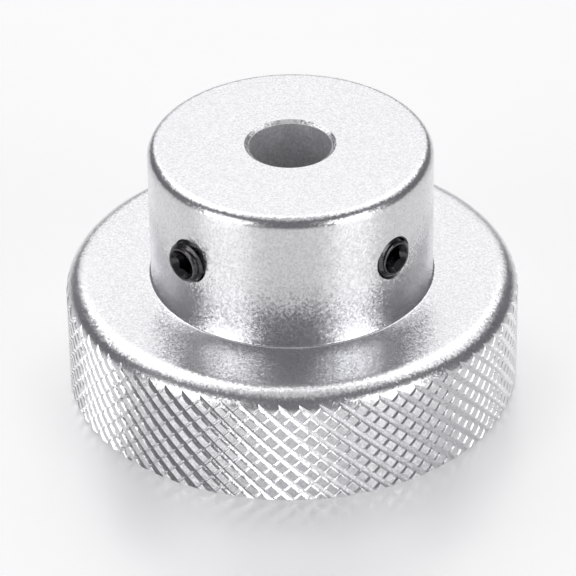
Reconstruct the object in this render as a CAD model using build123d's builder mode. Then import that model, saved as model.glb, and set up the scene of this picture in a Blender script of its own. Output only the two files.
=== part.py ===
# Machine handwheel: one turned aluminium wheel, a hub on a broad flange with a
# diamond knurled rim, held on its shaft by two set screws at right angles.
# Millimetres. The origin is the centre of the underside, on the shaft's axis,
# and +Z points to the hub's end.
import os
from math import cos, radians, sin, tan

from build123d import *

os.makedirs("parts", exist_ok=True)

# The wheel
rim_diameter = 44.0
rim_width = 12.1
hub_diameter = 27.4
hub_length = 14.15  # from the flange's face to the hub's end
rim_fillet = 2.5  # between the flange's face and the knurl
rim_chamfer = 0.4  # at the underside
hub_fillet = 1.2

# The shaft's bore
bore_diameter = 8.0
bore_chamfer = 0.4

# The knurl: V grooves across the rim, deeper one way than the other. The real
# wheel has 72 starts each way. Every second groove is left out here, and the
# grooves stop short of the rim's fillet, to keep the solid light.
knurl_starts = 36
knurl_helix = 45.0  # of the grooves, from the shaft's axis
knurl_margin = 0.3  # from the grooves' ends to the fillet
crossing_bearing = 4.34  # of one place where the grooves cross, round the shaft
crossing_height = 0.33  # of that place, above the underside
left_groove_depth = 0.34  # of the grooves that rise to the left
right_groove_depth = 0.18
groove_angle = 90.0  # between a groove's walls
cutter_height = 0.25  # how far a groove's cutter stands over the rim
cutter_overrun = 0.8  # and how far it runs past the underside

# The set screws, M4 with a hexagon socket and a cup point
screw_diameter = 4.0
screw_length = 8.0
screw_height = 7.3  # screw's axis above the flange's face
screw_clearance = 0.05  # on the radius, in its hole
mouth_chamfer = 0.2  # round the hole, in the hub's side
mouth_angle = 90.0  # between the chamfer's sides
left_stand_out = 1.0  # of the screw's outer end from the hub
right_stand_out = 0.25
screw_end_chamfer = 0.35
point_diameter = 2.0
point_angle = 45.0  # of the point's cone, from the screw's axis
cup_depth = 0.45
socket_width = 2.0  # across flats
socket_depth = 2.2
socket_lead = 0.15  # chamfer round the socket's mouth
drill_angle = 60.0  # of the cone at the socket's bottom, from the axis

# Each set screw's name, its bearing round the shaft and how far it stands out
set_screws = [
    ("left_set_screw", -90.0, left_stand_out),
    ("right_set_screw", 0.0, right_stand_out),
]

rim_radius = rim_diameter / 2
hub_radius = hub_diameter / 2
bore_radius = bore_diameter / 2
total_height = rim_width + hub_length
groove_end = rim_width - rim_fillet - knurl_margin
screw_level = rim_width + screw_height
screw_radius = screw_diameter / 2
hole_radius = screw_radius + screw_clearance
point_radius = point_diameter / 2
point_length = (screw_radius - point_radius) / tan(radians(point_angle))
socket_radius = socket_width / 2
socket_corner = socket_radius / cos(radians(180 / 6))  # of the hexagon, from its centre


def ring_edges(part, radius, level):
    """The round edges of one radius at one height."""
    rings = part.edges().filter_by(GeomType.CIRCLE)
    rings = rings.filter_by(lambda edge: abs(edge.radius - radius) < 1e-6)
    return rings.filter_by(lambda edge: abs(edge.center().Z - level) < 1e-6)


def screw_plane(bearing, distance):
    """The plane square to a screw's axis, at a distance from the shaft's axis."""
    outward = Vector(cos(radians(bearing)), sin(radians(bearing)), 0)
    centre = outward * distance + Vector(0, 0, screw_level)
    return Plane(origin=centre, x_dir=(0, 0, 1), z_dir=outward)


def groove_plane(height, hand):
    """The plane square to a groove at a height. The hand is 1 where it rises to the right."""
    slope = hand * tan(radians(knurl_helix))
    bearing = radians(crossing_bearing) + slope * (height - crossing_height) / rim_radius
    outward = Vector(cos(bearing), sin(bearing), 0)
    onward = Vector(-sin(bearing), cos(bearing), 0) * slope + Vector(0, 0, 1)
    centre = outward * rim_radius + Vector(0, 0, height)
    return Plane(origin=centre, x_dir=outward, z_dir=onward)


def groove_cutter(depth, hand):
    """The solid that cuts one groove, lofted along its helix."""
    half_width = (depth + cutter_height) * tan(radians(groove_angle / 2))
    with BuildPart() as cutter:
        for height in (-cutter_overrun, groove_end / 2, groove_end):
            with BuildSketch(groove_plane(height, hand)):
                with BuildLine():
                    Polyline(
                        (-depth, 0),
                        (cutter_height, half_width),
                        (cutter_height, -half_width),
                        close=True,
                    )
                make_face()
        loft()
    return cutter.part


groove_cutters = [
    groove_cutter(left_groove_depth, -1),
    groove_cutter(right_groove_depth, 1),
]

with BuildPart() as wheel_body:
    # the blank as it leaves the lathe
    with BuildSketch(Plane.XZ) as half_section:
        with BuildLine():
            Polyline(
                (bore_radius, 0),
                (rim_radius, 0),
                (rim_radius, rim_width),
                (hub_radius, rim_width),
                (hub_radius, total_height),
                (bore_radius, total_height),
                close=True,
            )
        make_face()
    revolve(axis=Axis.Z)
    fillet(ring_edges(wheel_body, rim_radius, rim_width), rim_fillet)
    fillet(ring_edges(wheel_body, hub_radius, total_height), hub_fillet)
    chamfer(ring_edges(wheel_body, rim_radius, 0), rim_chamfer)
    chamfer(ring_edges(wheel_body, bore_radius, 0), bore_chamfer)
    chamfer(ring_edges(wheel_body, bore_radius, total_height), bore_chamfer)

    # the screws' holes, from the hub's side into the bore
    for screw_name, bearing, stand_out in set_screws:
        with Locations(screw_plane(bearing, hub_radius)):
            CounterSinkHole(hole_radius, hole_radius + mouth_chamfer, hub_radius, mouth_angle)

    # the knurl, one way and then the other
    for cutter in groove_cutters:
        with PolarLocations(0, knurl_starts):
            add(cutter, mode=Mode.SUBTRACT, clean=False)

wheel_body.part.label = "wheel_body"
export_step(wheel_body.part, "parts/wheel_body.step")

for screw_name, bearing, stand_out in set_screws:
    outer_end = screw_plane(bearing, hub_radius + stand_out)
    lengthwise = Plane(
        origin=outer_end.origin,
        x_dir=outer_end.z_dir,
        z_dir=outer_end.z_dir.cross(Vector(0, 0, 1)),
    )
    with BuildPart() as set_screw:
        # half of the screw, from the cup point round to the drilled socket
        with BuildSketch(lengthwise) as half_screw:
            with BuildLine():
                Polyline(
                    (cup_depth - screw_length, 0),
                    (-screw_length, point_radius),
                    (point_length - screw_length, screw_radius),
                    (-screw_end_chamfer, screw_radius),
                    (0, screw_radius - screw_end_chamfer),
                    (0, socket_corner),
                    (-socket_lead, socket_radius),
                    (-socket_depth, socket_radius),
                    (-socket_depth - socket_radius / tan(radians(drill_angle)), 0),
                    close=True,
                )
            make_face()
        revolve(axis=Axis(outer_end.origin, outer_end.z_dir))
        # the hexagon for the key
        with BuildSketch(outer_end):
            RegularPolygon(socket_radius, 6, major_radius=False)
        extrude(amount=-socket_depth, mode=Mode.SUBTRACT)
    set_screw.part.label = screw_name
    export_step(set_screw.part, f"parts/{screw_name}.step")
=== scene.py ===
# A machine handwheel: a hub on a broad flange with a diamond knurled rim, and
# two set screws. Everything is in metres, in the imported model's own frame.
import math

import bmesh
import bpy
from mathutils import Matrix, Vector


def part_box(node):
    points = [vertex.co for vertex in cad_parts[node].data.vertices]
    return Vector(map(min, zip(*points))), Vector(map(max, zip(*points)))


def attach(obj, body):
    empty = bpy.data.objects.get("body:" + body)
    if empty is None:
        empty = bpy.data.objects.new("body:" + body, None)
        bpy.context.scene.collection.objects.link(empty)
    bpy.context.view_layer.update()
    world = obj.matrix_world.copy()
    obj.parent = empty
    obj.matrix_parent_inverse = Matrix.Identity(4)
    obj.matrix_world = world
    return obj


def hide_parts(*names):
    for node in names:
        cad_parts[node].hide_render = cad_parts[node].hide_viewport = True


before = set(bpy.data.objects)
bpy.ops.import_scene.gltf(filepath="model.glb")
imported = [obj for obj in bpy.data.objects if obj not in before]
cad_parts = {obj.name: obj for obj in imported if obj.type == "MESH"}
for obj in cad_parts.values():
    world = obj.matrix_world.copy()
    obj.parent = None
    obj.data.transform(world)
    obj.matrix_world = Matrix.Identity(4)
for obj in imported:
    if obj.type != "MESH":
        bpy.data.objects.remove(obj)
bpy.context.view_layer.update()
mm = 0.001
overrun = 1.0 * mm  # how far a cutting piece stands past the metal
weldDistance = 0.002 * mm  # points nearer than this become one
print("stage: frame loaded")


# Node trees

def newNode(tree, kind, inputs=None, **settings):
    # an input is linked where its value is another node's socket
    node = tree.nodes.new(kind)
    for name, value in settings.items():
        setattr(node, name, value)
    for key, value in (inputs or {}).items():
        if isinstance(value, bpy.types.NodeSocket):
            tree.links.new(value, node.inputs[key])
        else:
            node.inputs[key].default_value = value
    return node


def calc(tree, operation, first, second=0.0):
    return newNode(tree, "ShaderNodeMath", {0: first, 1: second}, operation=operation).outputs[0]


def vectorCalc(tree, operation, first, second=(0.0, 0.0, 0.0)):
    return newNode(tree, "ShaderNodeVectorMath", {0: first, 1: second}, operation=operation).outputs[0]


def geometryTree(name, inputs):
    # a tree with one named input for each size, and its input and output nodes
    tree = bpy.data.node_groups.new(name, "GeometryNodeTree")
    tree.interface.new_socket("Geometry", in_out="INPUT", socket_type="NodeSocketGeometry")
    for label, kind in inputs:
        tree.interface.new_socket(label, in_out="INPUT", socket_type=kind)
    tree.interface.new_socket("Geometry", in_out="OUTPUT", socket_type="NodeSocketGeometry")
    return tree, newNode(tree, "NodeGroupInput").outputs, newNode(tree, "NodeGroupOutput")


def closeTree(tree, geometry, paint, result):
    # welds the seams, makes everything real and gives it its material
    joined = newNode(tree, "GeometryNodeMergeByDistance", {"Geometry": geometry, "Distance": weldDistance})
    whole = newNode(tree, "GeometryNodeRealizeInstances", {0: joined.outputs[0]})
    painted = newNode(tree, "GeometryNodeSetMaterial", {0: whole.outputs[0], "Material": paint})
    tree.links.new(painted.outputs[0], result.inputs[0])


def applyTree(piece, tree, values):
    # sets the tree's inputs by their identifiers, then turns the result into a plain mesh
    modifier = piece.modifiers.new(tree.name, "NODES")
    modifier.node_group = tree
    for item in tree.interface.items_tree:
        if item.in_out == "INPUT" and item.name in values:
            modifier[item.identifier] = values[item.name]
    bakeModifiers(piece)


def bakeModifiers(piece):
    # swaps the piece's mesh for the finished one
    bpy.context.view_layer.update()
    evaluated = piece.evaluated_get(bpy.context.evaluated_depsgraph_get())
    finished = bpy.data.meshes.new_from_object(evaluated)
    piece.modifiers.clear()
    unfinished = piece.data
    piece.data = finished
    bpy.data.meshes.remove(unfinished)


# Mesh making

def addPiece(name, points, faces):
    mesh = bpy.data.meshes.new(name)
    mesh.from_pydata([tuple(point) for point in points], [], faces)
    piece = bpy.data.objects.new(name, mesh)
    bpy.context.scene.collection.objects.link(piece)
    return piece


def lathe(name, outline, turns, poles=False):
    # turns an outline of (radius, height) about +Z; with poles it starts and ends on the axis
    rings = outline[1:-1] if poles else outline
    points, faces = [], []
    for radius, height in rings:
        for step in range(turns):
            angle = math.tau * step / turns
            points.append((radius * math.cos(angle), radius * math.sin(angle), height))
    for row in range(len(rings) - 1 if poles else len(rings)):
        below, above = row * turns, (row + 1) % len(rings) * turns
        for step in range(turns):
            following = (step + 1) % turns
            faces.append((below + step, below + following, above + following, above + step))
    if poles:
        first, last = len(points), len(points) + 1
        points += [(0, 0, outline[0][1]), (0, 0, outline[-1][1])]
        top = (len(rings) - 1) * turns
        for step in range(turns):
            following = (step + 1) % turns
            faces.append((first, following, step))
            faces.append((last, top + step, top + following))
    piece = addPiece(name, points, faces)
    faceOutwards(piece.data)
    return piece


def faceOutwards(mesh):
    shape = bmesh.new()
    shape.from_mesh(mesh)
    bmesh.ops.recalc_face_normals(shape, faces=shape.faces)
    shape.to_mesh(mesh)
    shape.free()


def arc(centre, across, up, start, end, steps):
    # points of (radius, height) along a round corner, angles in degrees
    angles = [math.radians(start + (end - start) * step / steps) for step in range(steps + 1)]
    return [(centre[0] + across * math.cos(a), centre[1] + up * math.sin(a)) for a in angles]


def between(start, end, parts):
    # the points that divide a straight wall of the outline, without its ends
    shares = [step / parts for step in range(1, parts)]
    return [(start[0] + (end[0] - start[0]) * s, start[1] + (end[1] - start[1]) * s) for s in shares]


def carve(piece, tool, operation="DIFFERENCE"):
    # cuts the piece with the tool, which is used up
    modifier = piece.modifiers.new("carve", "BOOLEAN")
    modifier.operation = operation
    modifier.solver = "MANIFOLD"
    modifier.object = tool
    bakeModifiers(piece)
    bpy.data.objects.remove(tool)


def smoothShade(piece, angle):
    # edges that turn by more than the angle stay sharp
    piece.data.shade_smooth()
    shape = bmesh.new()
    shape.from_mesh(piece.data)
    limit = math.radians(angle)
    for edge in shape.edges:
        edge.smooth = len(edge.link_faces) == 2 and edge.calc_face_angle(0) < limit
    shape.to_mesh(piece.data)
    shape.free()


# The wheel

wheelSizes = {
    "rimRadius": 22.0 * mm,
    "rimWidth": 12.1 * mm,
    "hubRadius": 13.7 * mm,
    "rimRound": (2.5 * mm, 2.0 * mm),  # its width on the flange and its height on the rim
    "hubRound": 1.2 * mm,
    "footRound": 0.25 * mm,
    "edgeChamfer": 0.4 * mm,
    "boreRadius": 4.0 * mm,
    "boreChamfer": (0.4 * mm, 0.27 * mm),  # across the face and down the bore
    "countersinkDepth": 0.5 * mm,  # how far the cone round a screw's hole reaches into the hub
    "spare": 0.05 * mm,  # the turned rim stands this much over the knurl before it is cut
    "turns": 360,
    "rimSteps": 18,
    "footSteps": 4,
    "hubSteps": 12,
    "smoothAngle": 24,  # degrees
}

knurlSizes = {
    "starts": 72,  # grooves each way
    "rows": 17,
    "deepHalf": 0.34 * mm,  # half the width and the whole depth of the wide grooves
    "shallowHalf": 0.18 * mm,
    "crest": 0.022 * mm,  # the small flat that breaks each pad's edge
    "padBearing": math.radians(1.84),  # of one pad's centre, round the axis
    "padLevel": 9.93 * mm,  # its height
    "padRow": 11,  # its row, where the lowest is 0
}


def knurlCell(sizes, rimRadius):
    # one pad with the groove walls round it, between the roots of four grooves
    pitch = math.tau * rimRadius / sizes["starts"]
    slant = pitch * math.sqrt(0.5)  # between two grooves, square to them
    deep, shallow, crest = sizes["deepHalf"], sizes["shallowHalf"], sizes["crest"]
    # where the cell bends, across the wide grooves and across the narrow ones
    side = [0.0, deep - shallow, deep - crest, deep + crest]
    side = side + [slant - place for place in reversed(side)]
    end = [0.0, shallow - crest, shallow + crest]
    end = end + [slant - place for place in reversed(end)]

    def cut(place, half):
        return max(0.0, half - min(place, slant - place))

    points, faces = [], []
    for across in side:
        for along in end:
            turn = (across + along - slant) / slant * math.pi / sizes["starts"]
            rise = (across - along) / slant * pitch / 2
            radius = rimRadius - max(cut(across, deep), cut(along, shallow))
            points.append((radius * math.cos(turn), radius * math.sin(turn), rise))
    rows = len(end)
    for i in range(len(side) - 1):
        for j in range(rows - 1):
            corners = [i * rows + j, i * rows + j + 1, (i + 1) * rows + j + 1, (i + 1) * rows + j]
            # where a wide and a narrow groove's walls meet, the face is split along their mitre
            mitre = i in (1, len(side) - 3) and j in (0, rows - 2)
            if not mitre:
                faces.append(corners)
            elif (i == 1) == (j == 0):
                faces += [(corners[0], corners[1], corners[2]), (corners[0], corners[2], corners[3])]
            else:
                faces += [(corners[0], corners[1], corners[3]), (corners[1], corners[2], corners[3])]
    return addPiece("knurlRing", points, faces), pitch


def knurlTree():
    # the pads repeated round the rim, then thickened outwards into a closed ring that cuts them
    tree, given, result = geometryTree("knurlPattern", [
        ("Starts", "NodeSocketInt"), ("Rows", "NodeSocketInt"), ("Phase", "NodeSocketFloat"),
        ("Pitch", "NodeSocketFloat"), ("Lowest", "NodeSocketFloat"), ("Thickness", "NodeSocketFloat"),
        ("Material", "NodeSocketMaterial"),
    ])
    count = calc(tree, "MULTIPLY", given["Starts"], given["Rows"])
    index = newNode(tree, "GeometryNodeInputIndex").outputs[0]
    row = calc(tree, "FLOOR", calc(tree, "DIVIDE", calc(tree, "ADD", index, 0.5), given["Starts"]))
    column = calc(tree, "SUBTRACT", index, calc(tree, "MULTIPLY", row, given["Starts"]))
    halfStep = calc(tree, "DIVIDE", math.pi, given["Starts"])
    steps = calc(tree, "ADD", calc(tree, "MULTIPLY", column, 2.0), row)
    turn = calc(tree, "ADD", calc(tree, "MULTIPLY", steps, halfStep), given["Phase"])
    rise = calc(tree, "MULTIPLY", row, calc(tree, "MULTIPLY", given["Pitch"], 0.5))
    place = newNode(tree, "ShaderNodeCombineXYZ", {2: calc(tree, "ADD", rise, given["Lowest"])})
    spin = newNode(tree, "ShaderNodeCombineXYZ", {2: turn})
    line = newNode(tree, "GeometryNodeMeshLine", {"Count": count, "Offset": (0, 0, 0)})
    spots = newNode(tree, "GeometryNodeSetPosition", {
        "Geometry": line.outputs[0], "Position": place.outputs[0],
    })
    pads = newNode(tree, "GeometryNodeInstanceOnPoints", {
        "Points": spots.outputs[0], "Instance": given["Geometry"], "Rotation": spin.outputs[0],
    })
    loose = newNode(tree, "GeometryNodeRealizeInstances", {0: pads.outputs[0]})
    band = newNode(tree, "GeometryNodeMergeByDistance", {
        "Geometry": loose.outputs[0], "Distance": weldDistance,
    }).outputs[0]
    position = newNode(tree, "GeometryNodeInputPosition").outputs[0]
    outward = vectorCalc(tree, "NORMALIZE", vectorCalc(tree, "MULTIPLY", position, (1, 1, 0)))
    grown = newNode(tree, "GeometryNodeExtrudeMesh", {
        "Mesh": band, "Offset": outward, "Offset Scale": given["Thickness"], "Individual": False,
    })
    inner = newNode(tree, "GeometryNodeFlipFaces", {0: band})
    both = newNode(tree, "GeometryNodeJoinGeometry")
    tree.links.new(grown.outputs[0], both.inputs[0])
    tree.links.new(inner.outputs[0], both.inputs[0])
    closeTree(tree, both.outputs[0], given["Material"], result)
    return tree


def wheelOutline(sizes, height):
    # the turned section, anticlockwise from the bore's lower edge
    rim, hub, width = sizes["rimRadius"], sizes["hubRadius"], sizes["rimWidth"]
    bore, edge = sizes["boreRadius"], sizes["edgeChamfer"]
    lead, drop = sizes["boreChamfer"]
    across, down = sizes["rimRound"]
    hubRound, foot, spare = sizes["hubRound"], sizes["footRound"], sizes["spare"]
    outline = [(bore + lead, 0)]
    outline += between((bore + lead, 0), (rim - edge, 0), 2)
    outline += [(rim - edge, 0), (rim + spare, edge + spare), (rim + spare, width - down)]
    # the round starts half a degree up, clear of the spare metal's step
    outline += arc((rim - across, width - down), across, down, 0.5, 90, sizes["rimSteps"])
    outline += between((rim - across, width), (hub, width), 3)
    outline += arc((hub + foot, width + foot), foot, foot, 270, 180, sizes["footSteps"])
    outline += between((hub, width + foot), (hub, height - hubRound), 6)
    outline += arc((hub - hubRound, height - hubRound), hubRound, hubRound, 0, 90, sizes["hubSteps"])
    outline += between((hub - hubRound, height), (bore + lead, height), 2)
    outline += [(bore + lead, height), (bore, height - drop)]
    outline += between((bore, height - drop), (bore, drop), 4)
    outline += [(bore, drop)]
    return outline


# The set screws

screwSizes = {
    "radius": 2.0 * mm,
    "rootRadius": 1.66 * mm,
    "pitch": 0.7 * mm,
    "length": 8.0 * mm,
    "endChamfer": 0.35 * mm,
    "pointRadius": 1.0 * mm,
    "cupDepth": 0.45 * mm,
    "socketFlat": 1.0 * mm,  # half of the width across flats
    "socketDepth": 2.2 * mm,
    "socketMouth": 1.52 * mm,  # radius of the cone's wide end, in the outer face
    "socketCone": 50.0,  # the cone's slope from the outer face
    "drillGap": 0.03 * mm,  # how far the socket's drilled hole stays inside its flats
    "drillCone": 60.0,  # of the drilled hole's bottom, from the axis
    "pointBreak": 0.04 * mm,  # half of the small flat round the cup
    "edgeBreak": (0.05 * mm, 0.04 * mm),  # on the outer face and on the chamfer
    "mouthBreak": (0.03 * mm, 0.02 * mm),  # across the socket's edge and down its cone
    "blankSpare": 0.02 * mm,  # the blank stands this much over the thread's crest
    "turns": 64,
    "smoothAngle": 28,  # degrees
    "holeRadius": 2.05 * mm,  # of the tapped hole's crests
    "holeRoot": 2.2 * mm,
    "mouthRadius": 2.25 * mm,  # of the countersink, at the hub's side
}


def threadTree():
    # wraps a flat strip into a screw thread's surface, which is still open at both ends
    tree, given, result = geometryTree("screwThread", [
        ("Crest Radius", "NodeSocketFloat"), ("Root Radius", "NodeSocketFloat"),
        ("Pitch", "NodeSocketFloat"), ("Steps", "NodeSocketInt"), ("Coils", "NodeSocketInt"),
        ("Start", "NodeSocketFloat"), ("Material", "NodeSocketMaterial"),
    ])
    perCoil = 4.0  # rows of points: two on the crest's edges and two on the root's
    rows = calc(tree, "ADD", calc(tree, "MULTIPLY", given["Coils"], perCoil), 1.0)
    columns = calc(tree, "ADD", given["Steps"], 1.0)
    strip = newNode(tree, "GeometryNodeMeshGrid", {
        "Size X": 1.0, "Size Y": 1.0, "Vertices X": columns, "Vertices Y": rows,
    })
    index = newNode(tree, "GeometryNodeInputIndex").outputs[0]
    step = calc(tree, "FLOOR", calc(tree, "DIVIDE", calc(tree, "ADD", index, 0.5), rows))
    row = calc(tree, "SUBTRACT", index, calc(tree, "MULTIPLY", step, rows))
    share = calc(tree, "DIVIDE", step, given["Steps"])
    corner = calc(tree, "MODULO", row, perCoil)
    onRoot = calc(tree, "GREATER_THAN", corner, 1.5)
    span = calc(tree, "SUBTRACT", given["Root Radius"], given["Crest Radius"])
    radius = calc(tree, "ADD", given["Crest Radius"], calc(tree, "MULTIPLY", onRoot, span))
    # the crest is an eighth of the pitch wide and the root a quarter
    widths = newNode(tree, "GeometryNodeIndexSwitch", {"Index": corner}, data_type="FLOAT")
    for extra in range(2):  # the node starts with two items of the four
        widths.index_switch_items.new()
    for slotIndex, value in enumerate((0.0, 0.125, 0.4375, 0.6875)):
        widths.inputs[slotIndex + 1].default_value = value
    coil = calc(tree, "FLOOR", calc(tree, "DIVIDE", calc(tree, "ADD", row, 0.5), perCoil))
    along = calc(tree, "ADD", calc(tree, "ADD", coil, widths.outputs[0]), share)
    height = calc(tree, "ADD", calc(tree, "MULTIPLY", along, given["Pitch"]), given["Start"])
    angle = calc(tree, "MULTIPLY", share, math.tau)
    place = newNode(tree, "ShaderNodeCombineXYZ", {
        0: calc(tree, "MULTIPLY", radius, calc(tree, "COSINE", angle)),
        1: calc(tree, "MULTIPLY", radius, calc(tree, "SINE", angle)),
        2: height,
    })
    wrapped = newNode(tree, "GeometryNodeSetPosition", {
        "Geometry": strip.outputs[0], "Position": place.outputs[0],
    })
    closeTree(tree, wrapped.outputs[0], given["Material"], result)
    return tree


def threadedRod(name, tree, sizes, crest, root, length, paint):
    # a closed threaded rod along +Z with its top near zero
    coils = math.ceil(length / sizes["pitch"]) + 2
    rod = addPiece(name, [(0, 0, 0)], [])
    applyTree(rod, tree, {
        "Crest Radius": crest, "Root Radius": root, "Pitch": sizes["pitch"],
        "Steps": sizes["turns"], "Coils": coils, "Start": (1 - coils) * sizes["pitch"], "Material": paint,
    })
    shape = bmesh.new()
    shape.from_mesh(rod.data)
    rims = [edge for edge in shape.edges if edge.is_boundary]
    bmesh.ops.holes_fill(shape, edges=rims, sides=0)
    bmesh.ops.recalc_face_normals(shape, faces=shape.faces)
    shape.to_mesh(rod.data)
    shape.free()
    return rod


def screwOutline(sizes):
    # half section from the cup point to the bottom of the drilled socket, the outer end at zero
    radius, length, point = sizes["radius"], sizes["length"], sizes["pointRadius"]
    edge, flat, mouth = sizes["endChamfer"], sizes["socketFlat"], sizes["socketMouth"]
    drill, deep = flat - sizes["drillGap"], sizes["socketDepth"]
    coneDepth = (mouth - drill) * math.tan(math.radians(sizes["socketCone"]))
    drillPoint = drill / math.tan(math.radians(sizes["drillCone"]))
    pointBreak, spare = sizes["pointBreak"], sizes["blankSpare"]
    blank = radius + spare
    faceBreak, chamferBreak = sizes["edgeBreak"]
    mouthBreak, coneBreak = sizes["mouthBreak"]
    return [
        (0, sizes["cupDepth"] - length), (point - pointBreak, -length), (point + pointBreak, -length),
        (blank, blank - point - length), (blank, -edge - spare),
        (radius - edge + chamferBreak, -chamferBreak), (radius - edge - faceBreak, 0),
        (mouth + mouthBreak, 0), (mouth - mouthBreak, -coneBreak), (drill, -coneDepth),
        (drill, -deep), (0, -deep - drillPoint),
    ]


def keyPrism(sizes):
    # the hexagon that the key fits, as a tool to cut the socket
    corner = sizes["socketFlat"] / math.cos(math.radians(30))
    turns = [math.radians(60 * k) for k in range(6)]
    ring = [(corner * math.cos(turn), corner * math.sin(turn)) for turn in turns]
    points = [(x, y, level) for level in (-sizes["socketDepth"], overrun) for x, y in ring]
    faces = [tuple(range(5, -1, -1)), tuple(range(6, 12))]
    faces += [(k, (k + 1) % 6, (k + 1) % 6 + 6, k + 6) for k in range(6)]
    return addPiece("keyPrism", points, faces)


def alongAxis(outward, centre):
    # turns +Z to a screw's outward direction and moves it to its place
    up = Vector((0, 0, 1))
    side = outward.cross(up)
    turn = Matrix((up, side, outward)).transposed().to_4x4()
    return Matrix.Translation(centre) @ turn


def makeScrew(name, sizes, tree, paint, outward, outerEnd, keyTurn):
    screw = lathe(name, screwOutline(sizes), sizes["turns"], poles=True)
    length = sizes["length"] + overrun
    rod = threadedRod("rod", tree, sizes, sizes["radius"], sizes["rootRadius"], length, paint)
    carve(screw, rod, "INTERSECT")
    prism = keyPrism(sizes)
    prism.data.transform(Matrix.Rotation(math.radians(keyTurn), 4, "Z"))
    carve(screw, prism)
    screw.data.transform(alongAxis(outward, outerEnd))
    smoothShade(screw, sizes["smoothAngle"])
    finish(screw, paint)
    return screw


def finish(piece, paint):
    # one material all over, also on the faces that a tool cut
    piece.data.materials.clear()
    piece.data.materials.append(paint)
    for face in piece.data.polygons:
        face.material_index = 0


def makeWheel(sizes, knurl, screw, height, holes, holeLevel, tree, paint):
    # the turned body, then the knurl, then one tapped hole in each of the directions in holes
    wheel = lathe("wheelBody", wheelOutline(sizes, height), sizes["turns"])
    ring, pitch = knurlCell(knurl, sizes["rimRadius"])
    lowest = knurl["padLevel"] - knurl["padRow"] * pitch / 2
    phase = knurl["padBearing"] - knurl["padRow"] * math.pi / knurl["starts"]
    applyTree(ring, knurlTree(), {
        "Starts": knurl["starts"], "Rows": knurl["rows"], "Phase": phase, "Pitch": pitch,
        "Lowest": lowest, "Thickness": overrun, "Material": paint,
    })
    carve(wheel, ring)
    outside = sizes["hubRadius"] + overrun
    mouth, sunk = screw["mouthRadius"], sizes["countersinkDepth"]
    for outward in holes:
        place = alongAxis(outward, Vector((0, 0, holeLevel)) + outward * outside)
        cutter = threadedRod("tap", tree, screw, screw["holeRoot"], screw["holeRadius"], outside, paint)
        cutter.data.transform(place)
        carve(wheel, cutter)
        cone = lathe("countersink", [
            (0, -overrun - sunk), (mouth - sunk, -overrun - sunk), (mouth + overrun, 0), (0, 0),
        ], sizes["turns"] // 4, poles=True)
        cone.data.transform(place)
        carve(wheel, cone)
    smoothShade(wheel, sizes["smoothAngle"])
    finish(wheel, paint)
    return wheel


# Finishes

def shaderGroup(name, inputs, outputs):
    tree = bpy.data.node_groups.new(name, "ShaderNodeTree")
    for label, kind in inputs:
        tree.interface.new_socket(label, in_out="INPUT", socket_type=kind)
    for label, kind in outputs:
        tree.interface.new_socket(label, in_out="OUTPUT", socket_type=kind)
    return tree, newNode(tree, "NodeGroupInput").outputs, newNode(tree, "NodeGroupOutput").inputs


def blastedGrain():
    # fine blasted grain: a normal with a random tilt in each grain, a height and a slow cloudy variation
    tree, given, result = shaderGroup("blastedGrain", [
        ("Vector", "NodeSocketVector"), ("Grain Scale", "NodeSocketFloat"),
        ("Tilt", "NodeSocketFloat"), ("Cloud Scale", "NodeSocketFloat"),
    ], [
        ("Normal", "NodeSocketVector"), ("Height", "NodeSocketFloat"),
        ("Speckle", "NodeSocketFloat"), ("Cloud", "NodeSocketFloat"),
    ])
    grains = newNode(tree, "ShaderNodeTexVoronoi", {"Vector": given["Vector"], "Scale": given["Grain Scale"]})
    centred = vectorCalc(tree, "SUBTRACT", grains.outputs["Color"], (0.5, 0.5, 0.5))
    tilt = newNode(tree, "ShaderNodeVectorMath", {0: centred, "Scale": given["Tilt"]}, operation="SCALE")
    facing = newNode(tree, "ShaderNodeNewGeometry").outputs["Normal"]
    turned = vectorCalc(tree, "NORMALIZE", vectorCalc(tree, "ADD", facing, tilt.outputs[0]))
    tree.links.new(turned, result["Normal"])
    channels = newNode(tree, "ShaderNodeSeparateXYZ", {0: grains.outputs["Color"]})
    tree.links.new(channels.outputs[2], result["Speckle"])
    fine = newNode(tree, "ShaderNodeTexNoise", {
        "Vector": given["Vector"], "Scale": given["Grain Scale"], "Detail": 2.0, "Roughness": 0.6,
    })
    tree.links.new(fine.outputs[0], result["Height"])
    cloud = newNode(tree, "ShaderNodeTexNoise", {
        "Vector": given["Vector"], "Scale": given["Cloud Scale"], "Detail": 3.0,
    })
    tree.links.new(cloud.outputs[0], result["Cloud"])
    return tree


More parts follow.
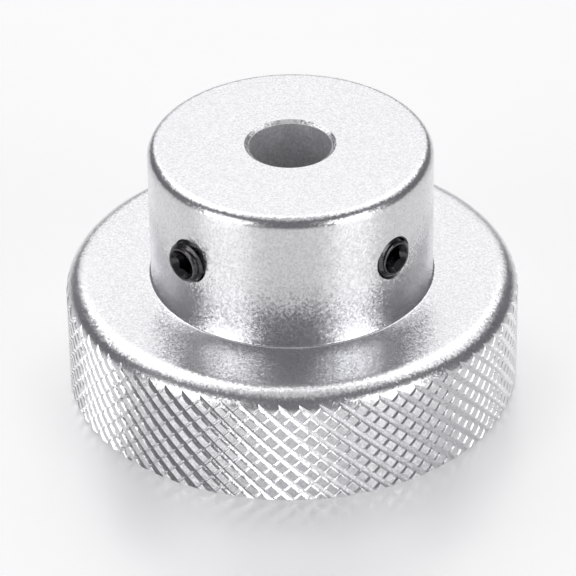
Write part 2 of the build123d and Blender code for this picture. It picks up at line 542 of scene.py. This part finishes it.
def grainedMetal(name, sizes, grain):
    paint = bpy.data.materials.new(name)
    paint.use_nodes = True
    tree = paint.node_tree
    surface = tree.nodes["Principled BSDF"]
    surface.inputs["Metallic"].default_value = 1.0
    marks = newNode(tree, "ShaderNodeGroup", node_tree=grain)
    tree.links.new(newNode(tree, "ShaderNodeTexCoord").outputs["Object"], marks.inputs["Vector"])
    marks.inputs["Grain Scale"].default_value = sizes["grainScale"]
    marks.inputs["Tilt"].default_value = sizes["tilt"]
    marks.inputs["Cloud Scale"].default_value = sizes["cloudScale"]
    dark, light = sizes["tones"]
    # a colour Mix node has its colours at inputs 6 and 7 and its result at output 2
    tone = newNode(tree, "ShaderNodeMix", {0: marks.outputs["Speckle"], 6: dark, 7: light}, data_type="RGBA")
    tree.links.new(tone.outputs[2], surface.inputs["Base Color"])
    low, high = sizes["roughness"]
    # nearly all of a noise lies between 0.3 and 0.7
    rough = newNode(tree, "ShaderNodeMapRange", {
        "Value": marks.outputs["Cloud"], "From Min": 0.3, "From Max": 0.7, "To Min": low, "To Max": high,
    })
    tree.links.new(rough.outputs[0], surface.inputs["Roughness"])
    bump = newNode(tree, "ShaderNodeBump", {
        "Strength": sizes["bump"], "Distance": sizes["grainDepth"], "Height": marks.outputs["Height"],
        "Normal": marks.outputs["Normal"],
    })
    tree.links.new(bump.outputs[0], surface.inputs["Normal"])
    return paint


def dullBore(paint, reach, roughness):
    # the drilled bore keeps a duller wall than the blasted faces round it
    tree = paint.node_tree
    rough = tree.nodes["Principled BSDF"].inputs["Roughness"]
    place = newNode(tree, "ShaderNodeTexCoord").outputs["Object"]
    across = vectorCalc(tree, "MULTIPLY", place, (1, 1, 0))
    distance = newNode(tree, "ShaderNodeVectorMath", {0: across}, operation="LENGTH").outputs["Value"]
    wall = newNode(tree, "ShaderNodeMapRange", {
        "Value": calc(tree, "LESS_THAN", distance, reach),
        "To Min": rough.links[0].from_socket, "To Max": roughness,
    })
    tree.links.new(wall.outputs[0], rough)


anodisedAluminium = {
    "tones": ((0.74, 0.74, 0.757, 1.0), (0.94, 0.94, 0.957, 1.0)),  # of the darkest and the lightest grains
    "grainScale": 6200.0,
    "tilt": 0.12,
    "cloudScale": 60.0,
    "bump": 0.5,
    "grainDepth": 0.01 * mm,
    "roughness": (0.24, 0.3),
    "boreReach": 4.05 * mm,  # everything nearer the axis than this is the bore's wall
    "boreRoughness": 0.6,
}

blackOxideSteel = {
    "tones": ((0.085, 0.082, 0.088, 1.0), (0.135, 0.131, 0.138, 1.0)),
    "grainScale": 5000.0,
    "tilt": 0.1,
    "cloudScale": 700.0,
    "bump": 0.4,
    "grainDepth": 0.02 * mm,
    "roughness": (0.17, 0.28),
}


# The studio

studio = {
    "cameraBearing": 45.0,  # of the camera, right of straight ahead
    "cameraHeight": 35.0373,  # degrees above the floor, seen from the centre of the underside
    "cameraDistance": 17.7488 * wheelSizes["rimRadius"],
    "cameraRoll": -0.8233,
    "aimSide": -0.0187 * wheelSizes["rimRadius"],
    "aimHeight": 0.4393 * wheelSizes["rimRadius"],
    "lens": 246.7,  # this and the sensor's width are in millimetres
    "sensor": 36.0,
    "floorTone": (0.84, 0.84, 0.84, 1.0),
    "floorGlow": 0.2,  # added to the floor where it is seen, so that it is nearly white
    "floorRoughness": 0.3,  # a satin white sheet
    "floorIndex": 2.3,
    "floorSize": 4.0,
    "airTone": (0.95, 0.92, 1.0, 1.0),
    "airLevel": 0.15,
}

# each softbox: bearing from the camera to the right, height in degrees, width, depth, distance, level
softboxes = {
    "backPanel": (180.0, 43.0, 0.9, 1.0, 0.8, 0.91),
    "backLeftPanel": (-130.0, 55.0, 0.5, 0.5, 0.8, 1.3),
    "backRightPanel": (130.0, 55.0, 0.5, 0.5, 0.8, 0.95),
    "frontLeftPanel": (-52.0, 20.0, 0.5, 0.52, 0.8, 1.95),
    "frontRightPanel": (49.0, 20.0, 0.45, 0.52, 0.8, 2.1),
    "topPanel": (0.0, 90.0, 0.5, 0.5, 0.8, 0.45),
}


def bearingVector(bearing, height):
    turn, rise = math.radians(bearing), math.radians(height)
    return Vector((math.sin(turn) * math.cos(rise), -math.cos(turn) * math.cos(rise), math.sin(rise)))


def makeCamera(sizes):
    bearing = sizes["cameraBearing"]
    place = bearingVector(bearing, sizes["cameraHeight"]) * sizes["cameraDistance"]
    turn = math.radians(bearing)
    aim = Vector((math.cos(turn), math.sin(turn), 0)) * sizes["aimSide"]
    aim += Vector((0, 0, sizes["aimHeight"]))
    lens = bpy.data.cameras.new("photoCamera")
    lens.sensor_width = sizes["sensor"]
    lens.lens = sizes["lens"]
    lens.clip_start, lens.clip_end = 0.01, 20.0
    camera = bpy.data.objects.new("photoCamera", lens)
    bpy.context.scene.collection.objects.link(camera)
    look = (aim - place).to_track_quat("-Z", "Y").to_matrix()
    roll = Matrix.Rotation(math.radians(sizes["cameraRoll"]), 3, "Z")
    camera.matrix_world = Matrix.Translation(place) @ (look @ roll).to_4x4()
    bpy.context.scene.camera = camera


def makeSoftbox(name, bearing, height, width, depth, distance, level):
    light = bpy.data.lights.new(name, "AREA")
    light.shape = "RECTANGLE"
    light.size, light.size_y = width, depth
    light.energy = level * math.pi * width * depth  # watts that make the panel's face as bright as its level
    lamp = bpy.data.objects.new(name, light)
    bpy.context.scene.collection.objects.link(lamp)
    outward = bearingVector(studio["cameraBearing"] + bearing, height)
    facing = outward.to_track_quat("Z", "Y").to_matrix().to_4x4()
    lamp.matrix_world = Matrix.Translation(outward * distance) @ facing


def makeFloor(sizes):
    half = sizes["floorSize"] / 2
    corners = [(-half, -half, 0), (half, -half, 0), (half, half, 0), (-half, half, 0)]
    floor = addPiece("floor", corners, [(0, 1, 2, 3)])
    paint = bpy.data.materials.new("paleFloor")
    paint.use_nodes = True
    tree = paint.node_tree
    surface = tree.nodes["Principled BSDF"]
    surface.inputs["Base Color"].default_value = sizes["floorTone"]
    surface.inputs["Roughness"].default_value = sizes["floorRoughness"]
    surface.inputs["IOR"].default_value = sizes["floorIndex"]
    surface.inputs["Specular IOR Level"].default_value = 1.0
    rays = newNode(tree, "ShaderNodeLightPath").outputs
    seen = calc(tree, "ADD", rays["Is Camera Ray"], rays["Is Glossy Ray"])
    seen = calc(tree, "MINIMUM", calc(tree, "ADD", seen, rays["Is Transmission Ray"]), 1.0)
    surface.inputs["Emission Color"].default_value = (1, 1, 1, 1)
    tree.links.new(calc(tree, "MULTIPLY", seen, sizes["floorGlow"]), surface.inputs["Emission Strength"])
    floor.data.materials.append(paint)


def makeLight(sizes):
    world = bpy.data.worlds.new("studioAir")
    world.use_nodes = True
    air = world.node_tree.nodes["Background"]
    air.inputs["Color"].default_value = sizes["airTone"]
    air.inputs["Strength"].default_value = sizes["airLevel"]
    bpy.context.scene.world = world
    for name, values in softboxes.items():
        makeSoftbox(name, *values)
    bpy.context.scene.view_settings.view_transform = "Standard"


# Everything together

grainGroup = blastedGrain()
aluminium = grainedMetal("anodisedAluminium", anodisedAluminium, grainGroup)
dullBore(aluminium, anodisedAluminium["boreReach"], anodisedAluminium["boreRoughness"])
steel = grainedMetal("blackOxideSteel", blackOxideSteel, grainGroup)
thread = threadTree()

# the wheel's height and the screws' outer ends come from the frame
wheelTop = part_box("wheel_body")[1][2]
leftLow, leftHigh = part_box("left_set_screw")
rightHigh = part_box("right_set_screw")[1]
screwLevel = (leftLow[2] + leftHigh[2]) / 2
leftward, rightward = Vector((0, -1, 0)), Vector((1, 0, 0))
leftKeyTurn, rightKeyTurn = 20.0, 0.0  # of each socket's hexagon

wheel = makeWheel(
    wheelSizes, knurlSizes, screwSizes, wheelTop, (leftward, rightward), screwLevel, thread, aluminium,
)
print("stage: wheel made,", len(wheel.data.polygons), "faces")
leftScrew = makeScrew(
    "leftSetScrew", screwSizes, thread, steel,
    leftward, Vector((0, leftLow[1], screwLevel)), leftKeyTurn,
)
rightScrew = makeScrew(
    "rightSetScrew", screwSizes, thread, steel,
    rightward, Vector((rightHigh[0], 0, screwLevel)), rightKeyTurn,
)
print("stage: set screws made,", len(leftScrew.data.polygons), "faces each")

for piece, node, body, slotName in (
    (wheel, "wheel_body", "wheel", "anodised_aluminium"),
    (leftScrew, "left_set_screw", "left_screw", "black_oxide_steel"),
    (rightScrew, "right_set_screw", "right_screw", "black_oxide_steel"),
):
    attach(piece, body)
    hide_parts(node)

makeCamera(studio)
makeFloor(studio)
makeLight(studio)
print("stage: studio made")
